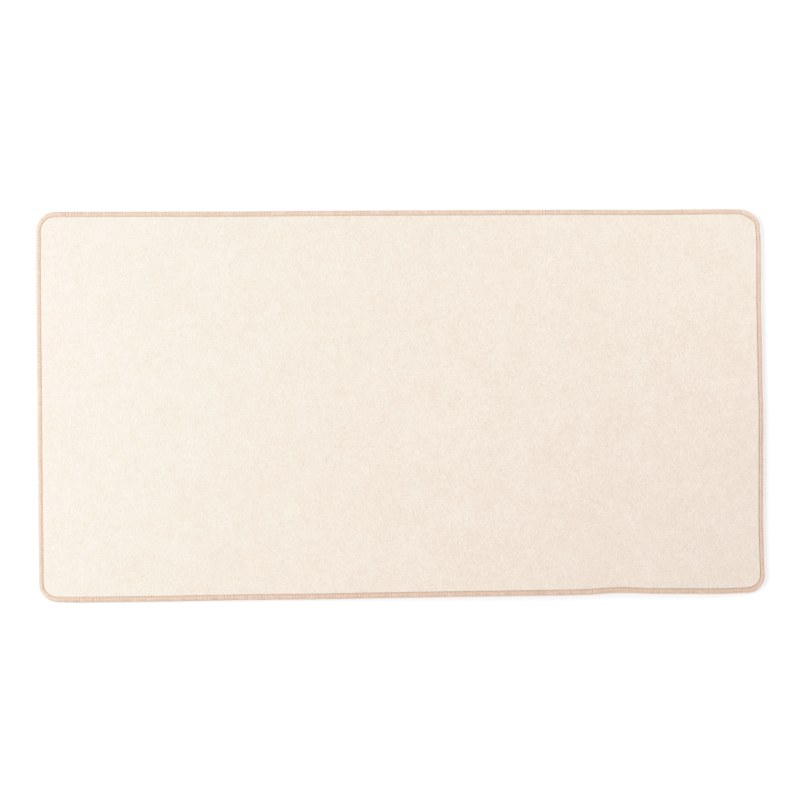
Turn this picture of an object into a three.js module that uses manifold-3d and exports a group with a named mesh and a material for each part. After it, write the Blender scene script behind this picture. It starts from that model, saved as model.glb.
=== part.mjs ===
// A felt desk mat: wool felt laminated on a non-slip rubber base, its edge bound all round by a
// three-thread overlock stitch.
//
// Units are millimetres. The mat lies flat, with +X along its length, +Y across its width towards
// the back of the desk, and +Z up. The origin is the middle of the outline, on the desk's surface.
//
// The stitch pulls the edge of the laminate tight. The felt is soft, so it is squeezed thin there,
// and the rubber keeps its thickness but steps up to lie on the thread that passes beneath it.

import * as THREE from 'three';
import { mergeVertices } from 'three/addons/utils/BufferGeometryUtils.js';
import Module from 'manifold-3d';

// Outline of the finished mat, over the thread.
const LENGTH = 750;
const WIDTH = 400;
const CORNER_RADIUS = 20;
const CORNER_SEGMENTS = 6;

// Layers of the laminate, from the desk up.
const BASE_THICKNESS = 1.5;
const FILM_THICKNESS = 0.125;
const FELT_THICKNESS = 3;
const SQUEEZED_FELT_THICKNESS = 1.625;
const FELT_SHOULDER_RADIUS = 0.375;

// Overlock edging. The band is the thread that shows from above, needle line included.
const THREAD_DIAMETER = 0.75;
const BAND_WIDTH = 5.5;
const PURL_THICKNESS = 1;
const THREAD_ROUNDING = 0.25;
const ROUNDING_SEGMENTS = 2;

// Clearances: thread to the cut edge, thread to thread, thread to the full-height field, and
// layer to layer where the laminate steps up.
const EDGE_CLEARANCE = 0.1;
const THREAD_CLEARANCE = 0.1;
const FIELD_CLEARANCE = 0.3;
const STEP_CLEARANCE = 0.05;

// Heights above the desk. "Field" is the broad middle of the mat, "margin" its stitched edge.
const FIELD_FILM_BOTTOM = BASE_THICKNESS;
const FIELD_FELT_BOTTOM = FIELD_FILM_BOTTOM + FILM_THICKNESS;
const FIELD_TOP = FIELD_FELT_BOTTOM + FELT_THICKNESS;
const MARGIN_BOTTOM = THREAD_DIAMETER;
const MARGIN_FILM_BOTTOM = MARGIN_BOTTOM + BASE_THICKNESS;
const MARGIN_FELT_BOTTOM = MARGIN_FILM_BOTTOM + FILM_THICKNESS;
const MARGIN_TOP = MARGIN_FELT_BOTTOM + SQUEEZED_FELT_THICKNESS;
const EDGING_TOP = MARGIN_TOP + THREAD_DIAMETER;

// The loopers meet half way up the edge, with a thread clearance between them.
const PURL_LINE = EDGING_TOP / 2;
const UPPER_LOOPER_BOTTOM = PURL_LINE + THREAD_CLEARANCE / 2;
const LOWER_LOOPER_TOP = PURL_LINE - THREAD_CLEARANCE / 2;

// Insets from the mat's outline. Each layer's foot stands in the hollow of the layer beneath.
const CUT_EDGE = PURL_THICKNESS + EDGE_CLEARANCE;
const NEEDLE_LINE = BAND_WIDTH - THREAD_DIAMETER;
const FIELD_EDGE = BAND_WIDTH + FIELD_CLEARANCE;
const BASE_HOLLOW = FIELD_EDGE + BASE_THICKNESS;
const FILM_FOOT = BASE_HOLLOW + STEP_CLEARANCE;
const FILM_HOLLOW = FILM_FOOT + FILM_THICKNESS;
const FELT_FOOT = FILM_HOLLOW + STEP_CLEARANCE;

// A cutter reaches this far past the solid that it cuts.
const CUTTER_OVERRUN = 1;

const wasm = await Module();
wasm.setup();

function roundedRectangle(path, inset) {
  const x = LENGTH / 2 - inset;
  const y = WIDTH / 2 - inset;
  const radius = CORNER_RADIUS - inset;
  path.absarc(x - radius, y - radius, radius, 0, Math.PI / 2);
  path.absarc(-x + radius, y - radius, radius, Math.PI / 2, Math.PI);
  path.absarc(-x + radius, -y + radius, radius, Math.PI, 1.5 * Math.PI);
  path.absarc(x - radius, -y + radius, radius, 1.5 * Math.PI, 2 * Math.PI);
  path.closePath();
  return path;
}

// Extrudes a shape between two heights, with its long edges rounded over if rounding is given.
function extruded(shape, bottom, top, rounding = 0) {
  const geometry = new THREE.ExtrudeGeometry(shape, {
    depth: top - bottom - 2 * rounding,
    curveSegments: CORNER_SEGMENTS,
    bevelEnabled: rounding > 0,
    bevelThickness: rounding,
    bevelSize: rounding,
    bevelOffset: -rounding,
    bevelSegments: ROUNDING_SEGMENTS,
  });
  return geometry.translate(0, 0, bottom + rounding);
}

function plate(inset, bottom, top, rounding) {
  return extruded(roundedRectangle(new THREE.Shape(), inset), bottom, top, rounding);
}

function ring(outerInset, innerInset, bottom, top, rounding) {
  const shape = roundedRectangle(new THREE.Shape(), outerInset);
  shape.holes.push(roundedRectangle(new THREE.Path(), innerInset));
  return extruded(shape, bottom, top, rounding);
}

function solid(geometry) {
  geometry.deleteAttribute('normal');
  geometry.deleteAttribute('uv');
  const merged = mergeVertices(geometry);
  return new wasm.Manifold(new wasm.Mesh({
    numProp: 3,
    vertProperties: new Float32Array(merged.attributes.position.array),
    triVerts: new Uint32Array(merged.index.array),
  }));
}

function geometryOf(manifold) {
  const mesh = manifold.getMesh();
  const geometry = new THREE.BufferGeometry();
  geometry.setAttribute('position', new THREE.BufferAttribute(mesh.vertProperties, 3));
  geometry.setIndex(new THREE.BufferAttribute(mesh.triVerts, 1));
  geometry.computeVertexNormals();
  return geometry;
}

function piece(name, geometry, color, roughness) {
  const material = new THREE.MeshStandardMaterial({ color, roughness, metalness: 0 });
  const mesh = new THREE.Mesh(geometry, material);
  mesh.name = name;
  return mesh;
}

// Even sheet of rubber whose margin steps up to lie on the lower looper thread.
function rubberBase() {
  const margin = solid(plate(CUT_EDGE, MARGIN_BOTTOM, MARGIN_FILM_BOTTOM));
  const field = solid(plate(FIELD_EDGE, 0, MARGIN_FILM_BOTTOM));
  const hollow = solid(plate(BASE_HOLLOW, FIELD_FILM_BOTTOM, MARGIN_FILM_BOTTOM + CUTTER_OVERRUN));
  return piece('rubber_base', geometryOf(margin.add(field).subtract(hollow)), 0xd9cfc0, 0.85);
}

// Hot-melt film that bonds the felt to the rubber and follows the rubber's step.
function bondingFilm() {
  const margin = solid(plate(CUT_EDGE, MARGIN_FILM_BOTTOM, MARGIN_FELT_BOTTOM));
  const field = solid(plate(FILM_FOOT, FIELD_FILM_BOTTOM, MARGIN_FELT_BOTTOM));
  const hollow = solid(plate(FILM_HOLLOW, FIELD_FELT_BOTTOM, MARGIN_FELT_BOTTOM + CUTTER_OVERRUN));
  return piece('bonding_film', geometryOf(margin.add(field).subtract(hollow)), 0xf1eee6, 0.5);
}

// Felt with a soft shoulder, where its full thickness drops to the squeezed margin.
function feltTop() {
  const margin = solid(plate(CUT_EDGE, MARGIN_FELT_BOTTOM, MARGIN_TOP));
  const sunkField = solid(plate(FELT_FOOT, FIELD_FELT_BOTTOM, MARGIN_TOP));
  const raisedField = solid(plate(FIELD_EDGE, MARGIN_FELT_BOTTOM, FIELD_TOP, FELT_SHOULDER_RADIUS));
  return piece('felt_top', geometryOf(margin.add(sunkField).add(raisedField)), 0xf5ebdd, 0.95);
}

// Runs along the needle line, beside the ends of the upper looper's loops.
function needleThread() {
  const line = ring(NEEDLE_LINE, BAND_WIDTH, MARGIN_TOP, EDGING_TOP, THREAD_ROUNDING);
  return piece('needle_thread', line, 0xe3c7b2, 0.7);
}

// Lies over the squeezed felt from the needle line to the edge, and down the edge to the purl line.
function upperLooperThread() {
  const outside = solid(ring(
    0, NEEDLE_LINE - THREAD_CLEARANCE, UPPER_LOOPER_BOTTOM, EDGING_TOP, THREAD_ROUNDING,
  ));
  const laminate = solid(plate(PURL_THICKNESS, 0, MARGIN_TOP));
  return piece('upper_looper_thread', geometryOf(outside.subtract(laminate)), 0xe8ccb6, 0.7);
}

// Lies under the raised rubber from the needle line to the edge, and up the edge to the purl line.
function lowerLooperThread() {
  const outside = solid(ring(0, BAND_WIDTH, 0, LOWER_LOOPER_TOP, THREAD_ROUNDING));
  const laminate = solid(plate(PURL_THICKNESS, MARGIN_BOTTOM, EDGING_TOP));
  return piece('lower_looper_thread', geometryOf(outside.subtract(laminate)), 0xe2c2a8, 0.7);
}

const deskMat = new THREE.Group();
deskMat.add(
  rubberBase(),
  bondingFilm(),
  feltTop(),
  needleThread(),
  upperLooperThread(),
  lowerLooperThread(),
);

export default deskMat;
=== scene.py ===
import math

import bpy
import numpy as np
from mathutils import Matrix, Vector


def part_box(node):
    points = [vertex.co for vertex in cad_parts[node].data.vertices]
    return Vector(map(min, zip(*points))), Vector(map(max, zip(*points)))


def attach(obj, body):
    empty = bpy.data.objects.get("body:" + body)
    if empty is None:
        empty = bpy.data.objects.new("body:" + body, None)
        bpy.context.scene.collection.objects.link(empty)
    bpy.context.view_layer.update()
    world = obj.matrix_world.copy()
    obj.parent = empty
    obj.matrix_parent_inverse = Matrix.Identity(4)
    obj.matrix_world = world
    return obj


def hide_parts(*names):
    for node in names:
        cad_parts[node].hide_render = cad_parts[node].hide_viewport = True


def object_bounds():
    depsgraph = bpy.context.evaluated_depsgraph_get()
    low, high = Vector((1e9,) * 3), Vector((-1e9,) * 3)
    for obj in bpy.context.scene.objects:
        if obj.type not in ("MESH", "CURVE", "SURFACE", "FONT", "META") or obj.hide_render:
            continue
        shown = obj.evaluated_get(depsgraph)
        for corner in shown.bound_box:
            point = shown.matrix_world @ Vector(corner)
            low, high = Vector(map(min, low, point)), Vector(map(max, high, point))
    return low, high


# The felt desk mat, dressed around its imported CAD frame. Everything is in metres, in the frame's own
# axes: +X along the mat, +Y across it towards the back of the desk, +Z up, the desk's surface at 0.
#
# The CAD gives plain solids. Here the three threads of the overlock edging are laid stitch by stitch,
# and the felt and rubber get their real surfaces, squeezed and bent where the stitching holds them.

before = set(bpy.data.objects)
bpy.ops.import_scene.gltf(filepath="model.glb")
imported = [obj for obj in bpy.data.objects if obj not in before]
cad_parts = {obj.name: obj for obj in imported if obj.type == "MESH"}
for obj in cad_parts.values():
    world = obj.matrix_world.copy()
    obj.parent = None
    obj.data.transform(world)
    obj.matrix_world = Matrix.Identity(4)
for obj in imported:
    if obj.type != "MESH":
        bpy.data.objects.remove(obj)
CAD_LOW, CAD_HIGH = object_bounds()
MM = 0.001

# ---- Sizes from the frame -------------------------------------------------------------------------

FELT_LOW, FELT_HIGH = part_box("felt_top")
FILM_LOW, FILM_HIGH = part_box("bonding_film")
NEEDLE_LOW, NEEDLE_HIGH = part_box("needle_thread")

HALF_LENGTH = CAD_HIGH.x
HALF_WIDTH = CAD_HIGH.y
EDGE_TOP = CAD_HIGH.z
EDGE_MIDDLE = EDGE_TOP / 2
FIELD_TOP = FELT_HIGH.z
FELT_FIELD_BOTTOM = FELT_LOW.z
FILM_FIELD_BOTTOM = FILM_LOW.z
FELT_MARGIN_BOTTOM = FILM_HIGH.z
FILM_THICKNESS = FELT_FIELD_BOTTOM - FILM_FIELD_BOTTOM
FILM_MARGIN_BOTTOM = FELT_MARGIN_BOTTOM - FILM_THICKNESS
BASE_THICKNESS = FILM_FIELD_BOTTOM
BASE_MARGIN_BOTTOM = FILM_MARGIN_BOTTOM - BASE_THICKNESS
MARGIN_TOP = NEEDLE_LOW.z
THREAD = NEEDLE_HIGH.z - NEEDLE_LOW.z
NEEDLE_LINE = HALF_LENGTH - NEEDLE_HIGH.x + THREAD / 2
CUT_EDGE = HALF_LENGTH - FELT_HIGH.x

# ---- Sizes that the frame's boxes don't give --------------------------------------------------------

CORNER_RADIUS = 20 * MM

# Insets from the outline. From FIELD_EDGE to BEND_END the layers bend down to lie on the desk, and from
# SHOULDER_FOOT to SHOULDER_TOP the felt's surface rises from the edging to the field.
FIELD_EDGE = 5.8 * MM
BEND_END = 7.6 * MM
SHOULDER_FOOT = 5.25 * MM
SHOULDER_TOP = 6.5 * MM

# The stitches were drawn tighter on the short sides, which narrows the edging there.
LEFT_NARROWING = 0.2 * MM
RIGHT_NARROWING = 0.8 * MM

# The round of stitches starts on the front edge at JOIN_X, and its last stitches overlap the first ones.
STITCH = 2.9 * MM
OVERLAPPED_STITCHES = 4
JOIN_X = 0.222

# Each piece draws its unevenness from a seed of its own.
FELT_SEED = 7
UPPER_LOOPER_SEED = 8
LOWER_LOOPER_SEED = 9
RUBBER_SEED = 11
NEEDLE_SEED = 16


def smooth(t):
    """0 to 1 as t goes from 0 to 1, with level ends."""
    t = np.clip(t, 0, 1)
    return t * t * (3 - 2 * t)


# ---- The outline ------------------------------------------------------------------------------------

RUN_X = 2 * (HALF_LENGTH - CORNER_RADIUS)
RUN_Y = 2 * (HALF_WIDTH - CORNER_RADIUS)
ARC = math.pi / 2 * CORNER_RADIUS
RUNS = np.array([RUN_X, ARC, RUN_Y, ARC] * 2)
RUN_STARTS = np.concatenate([[0], np.cumsum(RUNS)[:-1]])
PERIMETER = RUNS.sum()
CORNERS = np.array([[-1, -1], [1, -1], [1, 1], [-1, 1]]) * [RUN_X / 2, RUN_Y / 2]
JOIN = JOIN_X + RUN_X / 2

# How unevenly the cut and the stitching ran: middle along the outline, outward shift, half length.
WANDERS = [
    (0.000, -0.5 * MM, 0.012),
    (0.100, 0.3 * MM, 0.060),
    (0.270, 0.3 * MM, 0.050),
    (JOIN, -1.8 * MM, 0.025),
    (0.680, 1.0 * MM, 0.034),
    (0.730, 1.0 * MM, 0.012),
    (0.800, -0.7 * MM, 0.034),
    (0.905, 0.6 * MM, 0.028),
    (1.025, -0.5 * MM, 0.035),
    (1.102, -0.7 * MM, 0.008),
    (1.121, -2.0 * MM, 0.011),
    (1.235, -0.5 * MM, 0.040),
    (1.465, 0.05 * MM, 0.060),
    (1.670, -0.35 * MM, 0.050),
    (1.880, -0.45 * MM, 0.015),
    (2.040, -0.35 * MM, 0.022),
    (2.054, 0.35 * MM, 0.150),
]


def outline_frame(along):
    """The point, outward normal and forward tangent at distances along the outline.

    It runs counter-clockwise from the front left corner's end, and wraps round.
    """
    along = np.mod(along, PERIMETER)
    run = np.searchsorted(RUN_STARTS, along, side="right") - 1
    done = along - RUN_STARTS[run]
    on_arc = run % 2 == 1
    heading = run // 2 * (math.pi / 2) + np.where(on_arc, done / CORNER_RADIUS, 0)
    tangent = np.stack([np.cos(heading), np.sin(heading)], axis=-1)
    normal = np.stack([np.sin(heading), -np.cos(heading)], axis=-1)
    ahead = np.where(on_arc, 0, done)[..., None]
    point = CORNERS[(run + 1) // 2 % 4] + CORNER_RADIUS * normal + ahead * tangent
    return point, normal, tangent


def wander(along):
    """How far the real outline strays outward from the true one."""
    total = np.zeros_like(along)
    for middle, shift, half_length in WANDERS:
        away = np.mod(along - middle + PERIMETER / 2, PERIMETER) - PERIMETER / 2
        total += shift * np.exp(-((away / half_length) ** 2))
    return total


def edge_points(along, inset, height):
    """Points at an inset from the real outline. Its strays die out towards the middle of the mat."""
    point, normal, _ = outline_frame(along)
    held = 1 - smooth((inset - FIELD_EDGE) / (CORNER_RADIUS - FIELD_EDGE))
    on_short_side = normal[..., 0] ** 2
    narrowing = np.where(normal[..., 0] > 0, RIGHT_NARROWING, LEFT_NARROWING) * on_short_side
    drawn = narrowing * smooth((inset - CUT_EDGE) / (NEEDLE_LINE - CUT_EDGE))
    flat = point + normal * ((wander(along) + drawn) * held - inset)[..., None]
    return np.concatenate([flat, np.broadcast_to(height, along.shape)[..., None]], axis=-1)


# ---- Mesh making --------------------------------------------------------------------------------------


def mesh_object(name, points, faces):
    mesh = bpy.data.meshes.new(name)
    mesh.from_pydata(points.tolist(), [], faces)
    mesh.polygons.foreach_set("use_smooth", [True] * len(mesh.polygons))
    mesh.update()
    made = bpy.data.objects.new(name, mesh)
    bpy.context.scene.collection.objects.link(made)
    return made


def strip(outer, inner):
    """Quads between two closed rows of vertices."""
    quads = [outer, np.roll(outer, -1), np.roll(inner, -1), inner]
    return np.stack(quads, axis=1).tolist()


class Slab:
    """A sheet with the mat's outline: a fine grid between the corners' centres, rows of points round
    it and round its edge to the hidden side, and one face that closes the hidden side."""

    ARC_STEPS = 16

    def __init__(self, cell):
        self.nx = round(RUN_X / cell)
        self.ny = round(RUN_Y / cell)
        steps = [self.nx, self.ARC_STEPS, self.ny, self.ARC_STEPS] * 2
        self.along = np.concatenate([
            start + np.linspace(0, run, count, endpoint=False)
            for start, run, count in zip(RUN_STARTS, RUNS, steps)
        ])
        size = (self.ny + 1, self.nx + 1)
        self.numbers = np.arange(size[0] * size[1]).reshape(size)

    def grid(self, height):
        x, y = np.meshgrid(
            np.linspace(-RUN_X / 2, RUN_X / 2, self.nx + 1),
            np.linspace(-RUN_Y / 2, RUN_Y / 2, self.ny + 1),
        )
        return np.stack([x.ravel(), y.ravel(), np.full(x.size, height)], axis=1)

    def grid_faces(self):
        n = self.numbers
        quads = [n[:-1, :-1], n[:-1, 1:], n[1:, 1:], n[1:, :-1]]
        return np.stack([q.ravel() for q in quads], axis=1).tolist()

    def rim(self):
        """The grid vertex beside each point of a row. All the points round a corner share one."""
        n = self.numbers
        corners = [[n[0, -1]], [n[-1, -1]], [n[-1, 0]], [n[0, 0]]]
        sides = [n[0, :-1], n[:-1, -1], n[-1, :0:-1], n[:0:-1, 0]]
        pairs = [np.concatenate([s, c * self.ARC_STEPS]) for s, c in zip(sides, corners)]
        return np.concatenate(pairs)

    def build(self, name, profile, relief, facing_up=True):
        """profile lists (inset, height, share of the relief) from the grid outwards."""
        count = len(self.along)
        points = [self.grid(profile[0][1])]
        shares = [np.ones(len(points[0]))]
        faces = self.grid_faces()
        inner = self.rim()
        for number, (inset, height, share) in enumerate(profile):
            row = len(points[0]) + number * count + np.arange(count)
            points.append(edge_points(self.along, np.full(count, inset), height))
            shares.append(np.full(count, share))
            faces += [f[:3] if f[2] == f[3] else f for f in strip(row, inner)]
            inner = row
        faces.append(inner[::-1].tolist())
        points = np.concatenate(points)
        points[:, 2] += relief(points) * np.concatenate(shares)
        if not facing_up:
            faces = [f[::-1] for f in faces]
        return mesh_object(name, points, faces)


WAVELENGTH_SPREAD = (0.7, 1.5)


def waves(points, rng, amplitude, wavelength, count=24):
    """A gentle random swell: many plane waves of about one length, in random directions."""
    total = np.zeros(len(points))
    for _ in range(count):
        heading = rng.uniform(0, 2 * math.pi)
        number = 2 * math.pi / (wavelength * rng.uniform(*WAVELENGTH_SPREAD))
        phase = rng.uniform(0, 2 * math.pi)
        across = points[:, 0] * math.cos(heading) + points[:, 1] * math.sin(heading)
        total += np.sin(number * across + phase)
    return amplitude * total / math.sqrt(count / 2)


# ---- The laminate -------------------------------------------------------------------------------------

# The spacing of each sheet's grid, and the insets of the first rows round it.
FELT_CELL = 2.05 * MM
RUBBER_CELL = 5 * MM
FILM_CELL = 10 * MM
FIELD_INSETS = [18 * MM, 16 * MM, 14 * MM, 12 * MM, 10.5 * MM, 9 * MM]

# The layers' cut edges swell out between the stitches, to this inset.
SWOLLEN_EDGE = 0.75 * MM

SHOULDER_STEPS = 7
SHOULDER_SHARPNESS = 2.4

# The felt has a groove along the needle line and is rounded off at its edge. Inset, height above the
# squeezed felt's plain top.
GROOVE_DEPTH = 0.45 * MM
FELT_UNDER_EDGING = [
    (4.6 * MM, -GROOVE_DEPTH),
    (3.8 * MM, -0.15 * MM),
    (3.0 * MM, 0),
    (2.0 * MM, -0.1 * MM),
    (1.4 * MM, -0.35 * MM),
    (CUT_EDGE, -0.55 * MM),
    (SWOLLEN_EDGE, -0.95 * MM),
]

# Height and wavelength of the felt's unevenness, broad and fine, and the spread of its fibres' ends.
FELT_SWELL = (0.05 * MM, 0.090)
FELT_PILE = (0.018 * MM, 0.007)
PILE_WAVES = 40
FIBRE_ENDS = 0.006 * MM

# Height and wavelength of the rubber's unevenness, and the mean height that keeps it above the desk.
RUBBER_SWELL = (0.03 * MM, 0.060)
RUBBER_LIFT = 0.08 * MM

# The inset where the rubber's bend ends. Beyond it: inset, height above the raised margin's underside.
RUBBER_BEND_TOP = 4.6 * MM
RUBBER_BEND_STEPS = 5
RUBBER_UNDER_EDGING = [(2.0 * MM, 0), (CUT_EDGE, 0.2 * MM), (SWOLLEN_EDGE, 0.6 * MM)]


def felt_top():
    """Felt with a slightly uneven surface, pressed down under the edging, with a soft shoulder inside it.
    """
    rng = np.random.default_rng(FELT_SEED)
    rows = [(inset, FIELD_TOP, 1) for inset in FIELD_INSETS]
    shoulder_height = FIELD_TOP - (MARGIN_TOP - GROOVE_DEPTH)
    for step in np.linspace(0, 1, SHOULDER_STEPS + 1)[1:]:
        inset = SHOULDER_TOP + (SHOULDER_FOOT - SHOULDER_TOP) * step
        fall = shoulder_height * smooth(step) ** SHOULDER_SHARPNESS
        rows.append((inset, FIELD_TOP - fall, 1 - step))
    rows += [(inset, MARGIN_TOP + rise, 0) for inset, rise in FELT_UNDER_EDGING]
    rows += [
        (SWOLLEN_EDGE, FELT_MARGIN_BOTTOM, 0),
        (FIELD_EDGE, FELT_MARGIN_BOTTOM, 0),
        (BEND_END, FELT_FIELD_BOTTOM, 0),
    ]

    def relief(points):
        swell = waves(points, rng, *FELT_SWELL)
        pile = waves(points, rng, *FELT_PILE, PILE_WAVES)
        return swell + pile + rng.normal(0, FIBRE_ENDS, len(points))

    return Slab(FELT_CELL).build("felt_sheet", rows, relief)


def bonding_film():
    """Film between the layers, which follows their bend."""
    rows = [
        (BEND_END, FELT_FIELD_BOTTOM, 0),
        (FIELD_EDGE, FELT_MARGIN_BOTTOM, 0),
        (SWOLLEN_EDGE, FELT_MARGIN_BOTTOM, 0),
        (SWOLLEN_EDGE, FILM_MARGIN_BOTTOM, 0),
        (FIELD_EDGE, FILM_MARGIN_BOTTOM, 0),
        (BEND_END, FILM_FIELD_BOTTOM, 0),
    ]
    return Slab(FILM_CELL).build("film_sheet", rows, lambda points: np.zeros(len(points)))


def rubber_base():
    """Rubber that bends up to lie on the stitches, its underside not quite flat."""
    half_relief = 0.5
    rows = [(inset, 0, half_relief) for inset in FIELD_INSETS]
    for step in np.linspace(0, 1, RUBBER_BEND_STEPS + 1):
        inset = BEND_END + (RUBBER_BEND_TOP - BEND_END) * step
        rows.append((inset, BASE_MARGIN_BOTTOM * smooth(step), 0))
    rows += [(inset, BASE_MARGIN_BOTTOM + rise, 0) for inset, rise in RUBBER_UNDER_EDGING]
    rows += [
        (SWOLLEN_EDGE, FILM_MARGIN_BOTTOM, 0),
        (FIELD_EDGE, FILM_MARGIN_BOTTOM, 0),
        (BEND_END, BASE_THICKNESS, 0),
    ]

    def relief(points):
        swell = waves(points, np.random.default_rng(RUBBER_SEED), *RUBBER_SWELL)
        return RUBBER_LIFT + np.clip(swell, -RUBBER_LIFT, RUBBER_LIFT)

    return Slab(RUBBER_CELL).build("rubber_sheet", rows, relief, facing_up=False)


# ---- The threads --------------------------------------------------------------------------------------

STITCHES = round(PERIMETER / STITCH)
PITCH = PERIMETER / STITCHES
THREAD_SIDES = 7


def add_uv(mesh, name, corners):
    """corners lists an (u, v) pair of arrays for each of the four corners of the mesh's first faces."""
    pairs = np.stack([np.stack(corner, axis=1) for corner in corners], axis=1).ravel()
    whole = np.zeros(len(mesh.loops) * 2)
    whole[: len(pairs)] = pairs
    mesh.uv_layers.new(name=name).data.foreach_set("uv", whole)


def tube(name, path, up, way, half_width, half_height, closed):
    """An oval tube along a path. up points away from the mat, and the flat of the oval faces it.

    Its UV map "Yarn" runs along the path and round it, in thread diameters and turns, from the
    underside. "Way" gives each point's way from the purl to the needle line."""
    ahead, behind = np.roll(path, -1, axis=0), np.roll(path, 1, axis=0)
    if not closed:
        ahead[-1], behind[0] = path[-1], path[0]
    tangent = ahead - behind
    tangent /= np.linalg.norm(tangent, axis=1, keepdims=True)
    side = np.cross(tangent, up)
    side /= np.linalg.norm(side, axis=1, keepdims=True)
    lift = np.cross(side, tangent)
    sides = THREAD_SIDES
    turn = 2 * math.pi * (np.arange(sides) / sides - 0.25)
    ring = (
        side[:, None] * (half_width[:, None] * np.cos(turn))[..., None]
        + lift[:, None] * (half_height[:, None] * np.sin(turn))[..., None]
    )
    points = (path[:, None] + ring).reshape(-1, 3)
    number = np.arange(len(points)).reshape(len(path), sides)
    if closed:
        number = np.concatenate([number, number[:1]])
    beside = np.roll(number, -1, axis=1)
    quads = [number[:-1], number[1:], beside[1:], beside[:-1]]
    faces = np.stack([q.ravel() for q in quads], axis=1).tolist()
    if not closed:
        faces += [number[0].tolist(), number[-1][::-1].tolist()]
    made = mesh_object(name, points, faces)
    steps = np.linalg.norm(np.diff(path, axis=0), axis=1)
    reached = np.concatenate([[0], np.cumsum(steps)]) / THREAD
    if closed:
        reached = np.append(reached, 2 * reached[-1] - reached[-2])
        way = np.append(way, way[0])
    start, end = np.repeat(reached[:-1], sides), np.repeat(reached[1:], sides)
    turns = np.tile(np.arange(sides) / sides, len(reached) - 1)
    next_turns = turns + 1 / sides
    add_uv(made.data, "Yarn", [(start, turns), (end, turns), (end, next_turns), (start, next_turns)])
    start, end = np.repeat(way[:-1], sides), np.repeat(way[1:], sides)
    add_uv(made.data, "Way", [(start, turns), (end, turns), (end, next_turns), (start, next_turns)])
    return made


# A looper thread's leg goes from the purl, half way up the edge, to the needle line. These are shares of
# that way: its points, the top of its straight wall, the start of its run over the felt.
LEG = np.array([0, 0.12, 0.25, 0.38, 0.5, 0.78, 0.91, 0.98, 1])
WALL_END = 0.25
RUN_START = 0.5

# The leg's insets and heights. Each looper's loops reach past the purl by PURL_CROSSING.
PURL_INSET = 0.42 * MM
RUN_INSET = 1.7 * MM
LOOP_END = NEEDLE_LINE - 0.65 * MM
WALL_TOP = 3.35 * MM
PURL_CROSSING = 0.12 * MM
RUN_HEIGHT = MARGIN_TOP + 0.53 * THREAD
RUN_DROP = 0.5 * MM

# The two legs of a stitch: half their distance in pitches, how far they slant, and from which share of
# their run they turn into each other.
PAIR_SPREAD = 0.232
PURL_SPREAD = 0.5
SLANT = 0.6 * MM
TURN_START = 0.45

# The thread lies flattened, a little narrower past THREAD_NARROWED of its way.
HALF_WIDTH = 0.65 * MM
HALF_WIDTH_LOST = 0.03 * MM
THREAD_NARROWED = 0.45
HALF_HEIGHT = 0.345 * MM

# Standard deviations of each stitch's shift along the edge, opening, reach, height and thickness, and of
# each point's thickness. At the purl the shift is only PURL_SHARE_OF_SHIFT of what it is at the needle.
SHIFT_SPREAD = 0.08 * MM
OPENING_SPREAD = 0.06 * MM
REACH_SPREAD = 0.18 * MM
HEIGHT_SPREAD = 0.03 * MM
STITCH_FLUFF = 0.07
POINT_FLUFF = 0.04
PURL_SHARE_OF_SHIFT = 0.2

# The stitches' reach also drifts slowly. The overlapping ones lie outside the first ones, and on the mat's
# top above them too. The last OVERLAP_CLIMB stitches of the round lead up to that.
REACH_DRIFT = 0.1 * MM
DRIFT_STITCHES = 13.0
OVERLAP_OUTWARD = 0.25 * MM
OVERLAP_UPWARD = 0.32 * MM
OVERLAP_CLIMB = 2


def leg_section(way):
    """Inset, height and the way out of the mat (outward share, upward share), for a leg over the top."""
    wall = np.clip(way / WALL_END, 0, 1)
    arc = np.clip((way - WALL_END) / (RUN_START - WALL_END), 0, 1) * math.pi / 2
    run = np.clip((way - RUN_START) / (1 - RUN_START), 0, 1)
    inset = PURL_INSET + (RUN_INSET - PURL_INSET) * (1 - np.cos(arc))
    inset = inset + (LOOP_END - RUN_INSET) * run
    foot = EDGE_MIDDLE - PURL_CROSSING
    height = foot + (WALL_TOP - foot) * wall + (RUN_HEIGHT - WALL_TOP) * np.sin(arc)
    height = height - RUN_DROP * run**2
    return inset, height, np.cos(arc), np.sin(arc)


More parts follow.
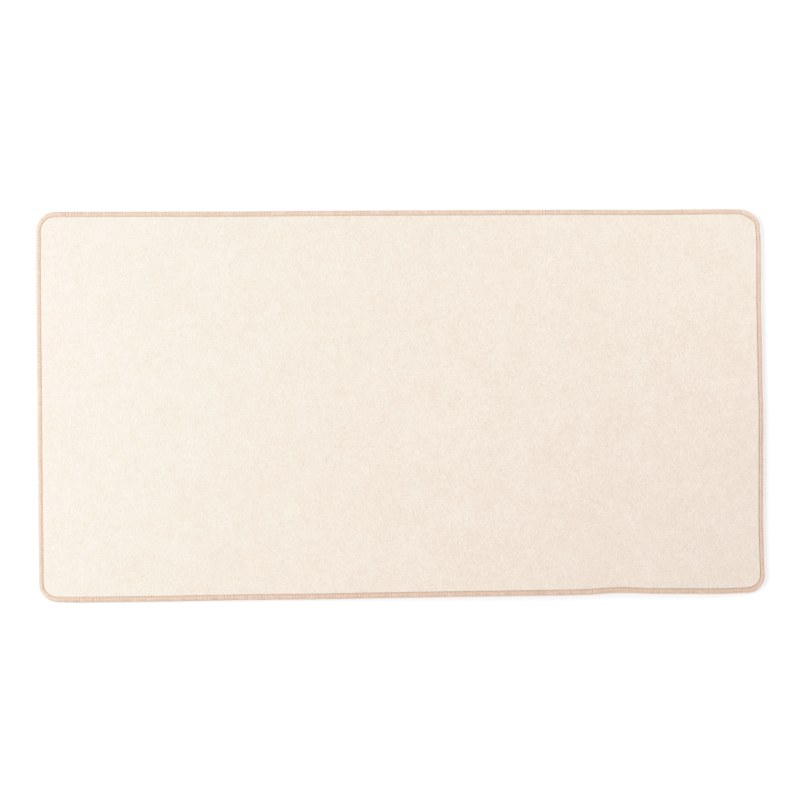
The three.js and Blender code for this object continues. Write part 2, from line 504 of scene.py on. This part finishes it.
def looper_thread(name, over):
    """One looper's thread. Each stitch is a loop of two legs from the purl to the needle line.

    The last few stitches run over the first ones, where the machine closed the round."""
    rng = np.random.default_rng(UPPER_LOOPER_SEED if over else LOWER_LOOPER_SEED)
    count = STITCHES + OVERLAPPED_STITCHES
    stitch = np.arange(count)
    out_and_back = np.concatenate([LEG, LEG[-2:0:-1]])
    per_stitch = len(out_and_back)
    side = np.sign(np.arange(per_stitch) - (len(LEG) - 1))
    inset, height, outward, upward = leg_section(out_and_back)
    run = np.clip((out_and_back - RUN_START) / (1 - RUN_START), 0, 1)
    leaving_purl = 1 - smooth(out_and_back / WALL_END)
    turned = np.clip((run - TURN_START) / (1 - TURN_START), 0, 1)
    opening = side * np.sqrt(1 - turned**2)
    spread = PAIR_SPREAD + (PURL_SPREAD - PAIR_SPREAD) * leaving_purl
    sideways = PITCH * spread * opening + SLANT * (out_and_back - 0.5)
    phase = 0 if over else 0.5
    along = JOIN + PITCH * (stitch[:, None] + phase) + sideways
    share_of_shift = PURL_SHARE_OF_SHIFT + (1 - PURL_SHARE_OF_SHIFT) * out_and_back
    along = along + rng.normal(0, SHIFT_SPREAD, (count, 1)) * share_of_shift
    along = along + rng.normal(0, OPENING_SPREAD, (count, 1)) * opening
    drift_phase = 1 if over else 2
    drift = REACH_DRIFT * np.sin(stitch / DRIFT_STITCHES + drift_phase)
    reach = rng.normal(0, REACH_SPREAD, (count, 1)) + drift[:, None]
    insets = inset + reach * run
    heights = height + rng.normal(0, HEIGHT_SPREAD, (count, 1)) * out_and_back
    on_top = smooth((stitch - STITCHES + OVERLAP_CLIMB) / OVERLAP_CLIMB)[:, None]
    insets = insets - OVERLAP_OUTWARD * on_top * outward
    if over:
        heights = heights + OVERLAP_UPWARD * on_top * upward
    else:
        heights = np.maximum(EDGE_TOP - heights, HALF_HEIGHT)
        upward = -upward
    path = edge_points(along.ravel(), insets.ravel(), heights.ravel())
    _, normal, _ = outline_frame(along.ravel())
    up = np.zeros_like(path)
    up[:, :2] = normal * np.tile(outward, count)[:, None]
    up[:, 2] = np.tile(upward, count)
    fluff = 1 + rng.normal(0, STITCH_FLUFF, (count, 1)) + rng.normal(0, POINT_FLUFF, (count, per_stitch))
    half_width = (HALF_WIDTH - HALF_WIDTH_LOST * smooth(out_and_back / THREAD_NARROWED)) * fluff
    way = np.tile(out_and_back, count)
    half_height = np.full(len(path), HALF_HEIGHT)
    return tube(name, path, up, way, half_width.ravel(), half_height, closed=False)


# The needle thread arches from hole to hole. The heights are those of its middle line.
NEEDLE_CROWN = MARGIN_TOP - 0.02 * MM
NEEDLE_HOLE = MARGIN_TOP - GROOVE_DEPTH - 0.15 * MM
NEEDLE_ARCH = 1.3
NEEDLE_STEPS = 8
NEEDLE_SHIFT = 0.25 * MM
NEEDLE_INSET = NEEDLE_LINE - 0.12 * MM
NEEDLE_INSET_SPREAD = 0.08 * MM
NEEDLE_RADIUS = 0.28 * MM


def needle_thread():
    """The needle thread shows as a line of short stitches, on top and again beneath."""
    rng = np.random.default_rng(NEEDLE_SEED)
    through = np.tile(np.arange(NEEDLE_STEPS) / NEEDLE_STEPS, STITCHES)
    stitch = np.repeat(np.arange(STITCHES), NEEDLE_STEPS)
    along = JOIN + PITCH * (stitch + through - 0.5) + NEEDLE_SHIFT
    height = NEEDLE_HOLE + (NEEDLE_CROWN - NEEDLE_HOLE) * np.sin(math.pi * through) ** NEEDLE_ARCH
    inset = NEEDLE_INSET + rng.normal(0, NEEDLE_INSET_SPREAD, STITCHES)[stitch]
    lines = []
    for heights, upward in ((height, 1), (EDGE_TOP - height, -1)):
        path = edge_points(along, inset, heights)
        up = np.tile([0.0, 0.0, upward], (len(path), 1))
        radius = np.full(len(path), NEEDLE_RADIUS)
        lines.append(tube("needle_line", path, up, np.ones(len(path)), radius, radius, closed=True))
    with bpy.context.temp_override(active_object=lines[0], selected_editable_objects=lines):
        bpy.ops.object.join()
    lines[0].name = "needle_line"
    return lines[0]


# ---- Materials ----------------------------------------------------------------------------------------

WHITE = (1.0, 1.0, 1.0)


class Shader:
    """A material with a Principled surface and short calls to add the nodes that drive it."""

    def __init__(self, name):
        self.material = bpy.data.materials.new(name)
        self.material.use_nodes = True
        self.tree = self.material.node_tree
        self.surface = self.tree.nodes["Principled BSDF"]
        self.place = self.tree.nodes.new("ShaderNodeTexCoord").outputs["Object"]

    def node(self, kind, inputs=(), **settings):
        made = self.tree.nodes.new("ShaderNode" + kind)
        for name, value in settings.items():
            setattr(made, name, value)
        for name, value in dict(inputs).items():
            if isinstance(value, bpy.types.NodeSocket):
                self.tree.links.new(value, made.inputs[name])
            else:
                made.inputs[name].default_value = value
        return made

    def set(self, **values):
        for name, value in values.items():
            self.surface.inputs[name.replace("_", " ")].default_value = value

    def drive(self, name, socket):
        self.tree.links.new(socket, self.surface.inputs[name])

    def noise(self, size, detail=3, roughness=0.6, stretch=(1, 1, 1), turn=0, distortion=0):
        """Noise whose features are about size metres across, drawn out along an axis by stretch.

        The turn comes after that. It gives another pattern, drawn out in the same direction."""
        scale = [1 / (size * s) for s in stretch]
        mapped = self.node("Mapping", {"Vector": self.place, "Rotation": (0, 0, turn), "Scale": scale})
        made = self.node("TexNoise", {
            "Vector": mapped.outputs["Vector"], "Scale": 1, "Detail": detail,
            "Roughness": roughness, "Distortion": distortion,
        })
        return made.outputs["Fac"]

    def ramp(self, value, *stops):
        made = self.node("ValToRGB", {"Fac": value})
        elements = made.color_ramp.elements
        while len(elements) < len(stops):
            elements.new(0.5)
        for element, (position, colour) in zip(elements, stops):
            element.position = position
            element.color = (*colour, 1)
        return made.outputs["Color"]

    def math(self, operation, a, b=0.0, c=0.0):
        made = self.node("Math", operation=operation)
        for socket, value in zip(made.inputs, (a, b, c)):
            if isinstance(value, bpy.types.NodeSocket):
                self.tree.links.new(value, socket)
            else:
                socket.default_value = value
        return made.outputs["Value"]

    def mix(self, amount, a, b, blend_type="MIX"):
        made = self.node("Mix", data_type="RGBA", blend_type=blend_type)
        values = {0: amount, 6: a, 7: b}
        for index, value in values.items():
            if isinstance(value, bpy.types.NodeSocket):
                self.tree.links.new(value, made.inputs[index])
            else:
                made.inputs[index].default_value = value if index == 0 else (*value, 1)
        return made.outputs[2]

    def tint(self, colour, shade):
        return self.mix(1.0, colour, shade, "MULTIPLY")

    def between(self, value, low, high):
        """0 at low, 1 at high and linear between them."""
        made = self.node("MapRange", {"Value": value, "From Min": low, "From Max": high})
        return made.outputs["Result"]

    def parts(self, vector):
        """The X, Y and Z of a vector."""
        return self.node("SeparateXYZ", {"Vector": vector}).outputs

    def uv(self, name):
        return self.parts(self.node("UVMap", uv_map=name).outputs["UV"])

    def bump(self, height, distance, strength=1.0, after=None):
        inputs = {"Height": height, "Distance": distance, "Strength": strength}
        if after is not None:
            inputs["Normal"] = after
        return self.node("Bump", inputs).outputs["Normal"]


# The felt's fibres, all along Y: the turn of each family's noise, and how many times longer than wide it
# is drawn.
FIBRE_LAYS = ((0.15, 9), (-0.35, 8), (1.05, 7), (-1.2, 7), (0.6, 10))
FIBRE_FINENESS = 12.0


def felt_material():
    """Pressed wool: short crimped fibres, drawn out across the mat, with soft mottling.

    Painted shade darkens it where it lies low, in the groove and under the edging.
    """
    s = Shader("wool_felt")
    middles = []
    for turn, stretch in FIBRE_LAYS:
        strand = s.noise(0.35 * MM, 2, 0.5, (1, stretch, 4), turn, 0.6)
        middles.append(s.math("ABSOLUTE", s.math("SUBTRACT", strand, 0.5)))
    web = middles[0]
    for middle in middles[1:]:
        web = s.math("MINIMUM", web, middle)
    web = s.math("SUBTRACT", 1.0, s.math("MULTIPLY", web, FIBRE_FINENESS))
    streaks = s.noise(0.9 * MM, 2, 0.55, (1, 4.5, 1), 0.05, 0.4)
    grain = s.noise(1.5 * MM, 3, 0.75, (1, 1.3, 1))
    clumps = s.noise(7 * MM, 3, 0.6, (1, 1.4, 1))
    drift = s.noise(45 * MM, 2, 0.5)
    colour = s.ramp(drift, (0.3, (0.728, 0.625, 0.545)), (0.7, (0.745, 0.645, 0.568)))
    for pattern, depth in ((clumps, 0.08), (grain, 0.24), (streaks, 0.16)):
        darkest = (1 - depth, 1 - 1.15 * depth, 1 - 1.35 * depth)
        lightest = (1 + depth, 1 + 1.15 * depth, 1 + 1.35 * depth)
        colour = s.tint(colour, s.ramp(pattern, (0.0, darkest), (1.0, lightest)))
    warmth = s.noise(2.2 * MM, 2, 0.6)
    colour = s.tint(colour, s.ramp(warmth, (0.25, (1.0, 0.965, 0.93)), (0.75, (1.0, 1.03, 1.05))))
    colour = s.mix(s.math("MULTIPLY", web, 0.10), colour, (0.84, 0.75, 0.67))
    # Painted shade: the felt is darkened where it lies low, on its shoulder, in the groove and under the
    # edging.
    height = s.between(s.parts(s.place)["Z"], 3.7 * MM, 4.45 * MM)
    painted_felt_shade = s.ramp(height, (0.0, (0.86, 0.82, 0.79)), (1.0, WHITE))
    s.drive("Base Color", s.tint(colour, painted_felt_shade))
    s.drive("Roughness", s.math("MULTIPLY_ADD", grain, 0.12, 0.86))
    soft = s.bump(clumps, 0.25 * MM, 0.5)
    body = s.bump(s.math("ADD", grain, streaks), 0.16 * MM, 0.8, soft)
    s.drive("Normal", s.bump(web, 0.06 * MM, 0.6, body))
    s.set(Specular_IOR_Level=0.18, Sheen_Weight=0.15, Sheen_Roughness=0.55)
    s.set(Sheen_Tint=(1.0, 0.97, 0.92, 1))
    return s.material


# The yarn's turns in a length of one thread diameter, its plies, and the filaments round it.
TWIST = 0.32
PLIES = 3.0
FILAMENTS = 16.0

# Painted light and shade across the mat: the thread is darkened towards the front right on top, and made
# warmer and lighter there on the wall of the edging, and the wall of the right side is lightened besides.
SHADE_GRADIENT_BY_X = 1.2
SHADE_GRADIENT_BY_Y = -2.5
SHADE_GRADIENT_IN_MIDDLE = 0.5
PAINTED_SHADE_TOP = (0.965, 0.92, 0.885)
PAINTED_LIGHT_WALL = (1.05, 1.01, 0.96)
PAINTED_LIGHT_RIGHT_WALL = (1.07, 1.08, 1.10)


def thread_material():
    """Bulky peach yarn: fine crimped filaments with a slight twist, dyed a little unevenly.

    Its colour carries painted shade in the twist's grooves and low places, and painted light and shade
    across the mat.
    """
    s = Shader("overlock_thread")
    yarn = s.uv("Yarn")
    along, turns = yarn["X"], yarn["Y"]
    lay = s.math("ADD", s.math("MULTIPLY", along, TWIST), s.math("MULTIPLY", turns, PLIES))
    groove = s.math("MULTIPLY_ADD", s.math("SINE", s.math("MULTIPLY", lay, 2 * math.pi)), 0.5, 0.5)
    across = s.math("ADD", s.math("MULTIPLY", turns, FILAMENTS), s.math("MULTIPLY", along, 1.1))
    strands = s.node("CombineXYZ", {"X": s.math("MULTIPLY", along, 0.9), "Y": across})
    filaments = s.node("TexNoise", {
        "Vector": strands.outputs["Vector"], "Scale": 1, "Detail": 3, "Roughness": 0.6, "Distortion": 0.6,
    }).outputs["Fac"]
    fluff = s.noise(2.0 * MM, 3, 0.7)
    dye = s.noise(14 * MM, 2, 0.5)
    colour = s.ramp(dye, (0.3, (0.758, 0.589, 0.478)), (0.7, (0.788, 0.625, 0.519)))
    for pattern, depth in ((fluff, 0.08), (filaments, 0.20)):
        colour = s.tint(colour, s.ramp(pattern, (0.0, (1 - depth,) * 3), (1.0, (1 + depth,) * 3)))
    # Painted shade in the grooves of the twist.
    colour = s.tint(colour, s.ramp(groove, (0.0, (0.93, 0.90, 0.88)), (0.5, WHITE)))
    place = s.parts(s.place)
    way = s.uv("Way")["X"]
    # Painted light and shade: a gradient towards the front right that darkens the top and lightens the
    # walls.
    shade_gradient = s.math("MULTIPLY_ADD", place["X"], SHADE_GRADIENT_BY_X, SHADE_GRADIENT_IN_MIDDLE)
    shade_gradient = s.math("MULTIPLY_ADD", place["Y"], SHADE_GRADIENT_BY_Y, shade_gradient)
    top = s.ramp(shade_gradient, (0.3, WHITE), (1.0, PAINTED_SHADE_TOP))
    wall = s.ramp(shade_gradient, (0.3, WHITE), (1.0, PAINTED_LIGHT_WALL))
    # Painted light on the wall of the right side.
    wall = s.tint(wall, s.ramp(s.between(place["X"], 0.30, 0.37), (0.0, WHITE), (1.0, PAINTED_LIGHT_RIGHT_WALL)))
    colour = s.tint(colour, s.mix(s.between(way, 0.25, 0.6), wall, top))
    # Painted shade: towards the needle line, the yarn is darkened where it lies low.
    height = s.between(place["Z"], 3.4 * MM, 4.4 * MM)
    painted_yarn_shade = s.tint(colour, s.ramp(height, (0.0, (0.90, 0.86, 0.83)), (1.0, WHITE)))
    s.drive("Base Color", s.mix(s.between(way, 0.55, 0.9), colour, painted_yarn_shade))
    s.drive("Roughness", s.math("MULTIPLY_ADD", filaments, 0.25, 0.55))
    twist = s.bump(groove, 0.07 * MM, 0.7)
    s.drive("Normal", s.bump(filaments, 0.10 * MM, 0.8, twist))
    s.set(Specular_IOR_Level=0.25, Sheen_Weight=0.2, Sheen_Roughness=0.45)
    return s.material


WAFFLE_CELL = 2.6 * MM


def rubber_material():
    """Natural rubber: matt, a little chalky, with fine specks and a moulded waffle grip."""
    s = Shader("base_rubber")
    specks = s.noise(0.6 * MM, 4, 0.7)
    chalk = s.noise(25 * MM, 3, 0.6)
    place = s.parts(s.place)
    ribs = [
        s.math("ABSOLUTE", s.math("SINE", s.math("MULTIPLY", place[axis], math.pi / WAFFLE_CELL)))
        for axis in ("X", "Y")
    ]
    waffle = s.math("SMOOTH_MIN", ribs[0], ribs[1], 0.2)
    colour = s.ramp(chalk, (0.3, (0.500, 0.440, 0.365)), (0.7, (0.585, 0.520, 0.440)))
    colour = s.tint(colour, s.ramp(specks, (0.3, (0.90, 0.89, 0.88)), (0.6, WHITE)))
    # Painted shade in the waffle's grooves.
    painted_waffle_shade = s.ramp(waffle, (0.0, (0.80, 0.78, 0.76)), (0.45, WHITE))
    s.drive("Base Color", s.tint(colour, painted_waffle_shade))
    s.drive("Roughness", s.math("MULTIPLY_ADD", chalk, 0.2, 0.68))
    moulded = s.bump(waffle, 0.30 * MM, 0.8)
    s.drive("Normal", s.bump(specks, 0.05 * MM, 0.5, moulded))
    s.set(Specular_IOR_Level=0.35)
    return s.material


def film_material():
    """Milky hot-melt film, with the faint orange peel of a hot roller."""
    s = Shader("bonding_film")
    peel = s.noise(1.5 * MM, 2, 0.5)
    haze = s.noise(30 * MM, 2, 0.5)
    s.drive("Base Color", s.ramp(haze, (0.3, (0.78, 0.76, 0.70)), (0.7, (0.86, 0.84, 0.79))))
    s.drive("Roughness", s.math("MULTIPLY_ADD", haze, 0.15, 0.35))
    s.drive("Normal", s.bump(peel, 0.05 * MM, 0.4))
    return s.material


# ---- Floor, light and camera --------------------------------------------------------------------------

# The floor is broad enough to fill a view from 15 degrees above it, and lies a hair below the mat.
FLOOR_HALF = 30.0
FLOOR_HEIGHT = -0.05 * MM

# The light falls off with the distance from its brightest place. The floor glows more with it, so that it
# shows as pure white all over: distance, glow.
GLOW_MIDDLE = (-0.2, 0.2, 0)
FLOOR_GLOW = [(0.44, 0.0), (0.56, 0.028), (0.65, 0.068), (0.80, 0.30), (2.6, 0.58)]


def add_floor():
    mesh = bpy.data.meshes.new("floor")
    signs = [(-1, -1), (1, -1), (1, 1), (-1, 1)]
    corners = [(x * FLOOR_HALF, y * FLOOR_HALF, FLOOR_HEIGHT) for x, y in signs]
    mesh.from_pydata(corners, [], [(0, 1, 2, 3)])
    floor = bpy.data.objects.new("floor", mesh)
    bpy.context.scene.collection.objects.link(floor)
    s = Shader("pale_floor")
    cloud = s.noise(800 * MM, 2, 0.5)
    s.drive("Base Color", s.ramp(cloud, (0.3, (0.928, 0.935, 0.943)), (0.7, (0.938, 0.945, 0.953))))
    s.set(Roughness=0.9, Specular_IOR_Level=0.1)
    away = s.node("VectorMath", {0: s.place, 1: GLOW_MIDDLE}, operation="DISTANCE").outputs["Value"]
    farthest = FLOOR_GLOW[-1][0]
    stops = [(distance / farthest, (glow,) * 3) for distance, glow in FLOOR_GLOW]
    s.drive("Emission Strength", s.ramp(s.math("DIVIDE", away, farthest), *stops))
    s.set(Emission_Color=(*WHITE, 1))
    mesh.materials.append(s.material)


WORLD_STRENGTH = 0.568

# Name, place, size, watts. All of them face the origin.
SOFTBOXES = [
    ("softbox_left", (-1.62, 0.16, 1.355), 0.9, 39.5),
    ("softbox_back", (0.70, 0.60, 0.59), 0.5, 3.3),
    ("softbox_front", (0.90, -1.60, 0.66), 0.7, 4.4),
]


def add_softbox(name, place, size, watts):
    light = bpy.data.lights.new(name, "AREA")
    light.size = size
    light.energy = watts
    made = bpy.data.objects.new(name, light)
    made.location = place
    made.visible_camera = False
    made.rotation_euler = (-Vector(place)).to_track_quat("-Z", "Y").to_euler()
    bpy.context.scene.collection.objects.link(made)


def add_lights():
    world = bpy.data.worlds.new("studio")
    world.use_nodes = True
    background = world.node_tree.nodes["Background"]
    background.inputs["Color"].default_value = (*WHITE, 1)
    background.inputs["Strength"].default_value = WORLD_STRENGTH
    bpy.context.scene.world = world
    for softbox in SOFTBOXES:
        add_softbox(*softbox)


# Scene tone, shown tone. FILM_WHITE is the scene tone that shows as white.
FILM_CURVE = [(0.75, 0.75), (0.86, 0.853), (0.945, 0.905), (1.065, 0.947)]
FILM_WHITE = 1.12


def expose_like_film():
    """Rolls the brightest tones off gently, as a bright product photograph does."""
    settings = bpy.context.scene.view_settings
    settings.view_transform = "Standard"
    settings.use_curve_mapping = True
    mapping = settings.curve_mapping
    mapping.white_level = (FILM_WHITE,) * 3
    combined = mapping.curves[3]
    for scene_tone, shown in FILM_CURVE:
        combined.points.new(scene_tone / FILM_WHITE, shown)
    mapping.update()


CAMERA_DISTANCE = 1.8
CAMERA_TARGET = Vector((-3.4 * MM, 4.0 * MM, 0))
CAMERA_LEAN_X = math.radians(-2.721)
CAMERA_LEAN_Y = math.radians(-0.246)
CAMERA_ROLL = math.radians(-0.555)
CAMERA_LENS = 78.3
CAMERA_SENSOR = 36
CAMERA_NEAR = 0.01
CAMERA_FAR = 50


def add_camera():
    """Looks almost straight down, leaning a little to the left and rolled a little."""
    lean = math.hypot(CAMERA_LEAN_X, CAMERA_LEAN_Y)
    heading = math.atan2(CAMERA_LEAN_Y, CAMERA_LEAN_X)
    back = Vector((
        math.sin(lean) * math.cos(heading), math.sin(lean) * math.sin(heading), math.cos(lean),
    ))
    right = Vector((0, 1, 0)).cross(back).normalized()
    up = back.cross(right)
    cos, sin = math.cos(CAMERA_ROLL), math.sin(CAMERA_ROLL)
    rolled_right, rolled_up = cos * right + sin * up, cos * up - sin * right
    data = bpy.data.cameras.new("camera")
    data.lens = CAMERA_LENS
    data.sensor_width = CAMERA_SENSOR
    data.clip_start, data.clip_end = CAMERA_NEAR, CAMERA_FAR
    camera = bpy.data.objects.new("camera", data)
    turned = Matrix((rolled_right, rolled_up, back)).transposed()
    camera.matrix_world = Matrix.Translation(CAMERA_TARGET + CAMERA_DISTANCE * back) @ turned.to_4x4()
    bpy.context.scene.collection.objects.link(camera)
    bpy.context.scene.camera = camera


# ---- Putting it together ------------------------------------------------------------------------------


def dress(piece, node, material):
    piece.data.materials.clear()
    piece.data.materials.append(material)
    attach(piece, "root")
    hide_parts(node)
    return piece


add_camera()
add_floor()
add_lights()
expose_like_film()

base = dress(rubber_base(), "rubber_base", rubber_material())
dress(bonding_film(), "bonding_film", film_material())
felt = dress(felt_top(), "felt_top", felt_material())
thread = thread_material()
dress(looper_thread("upper_looper_loops", over=True), "upper_looper_thread", thread)
dress(looper_thread("lower_looper_loops", over=False), "lower_looper_thread", thread)
dress(needle_thread(), "needle_thread", thread)
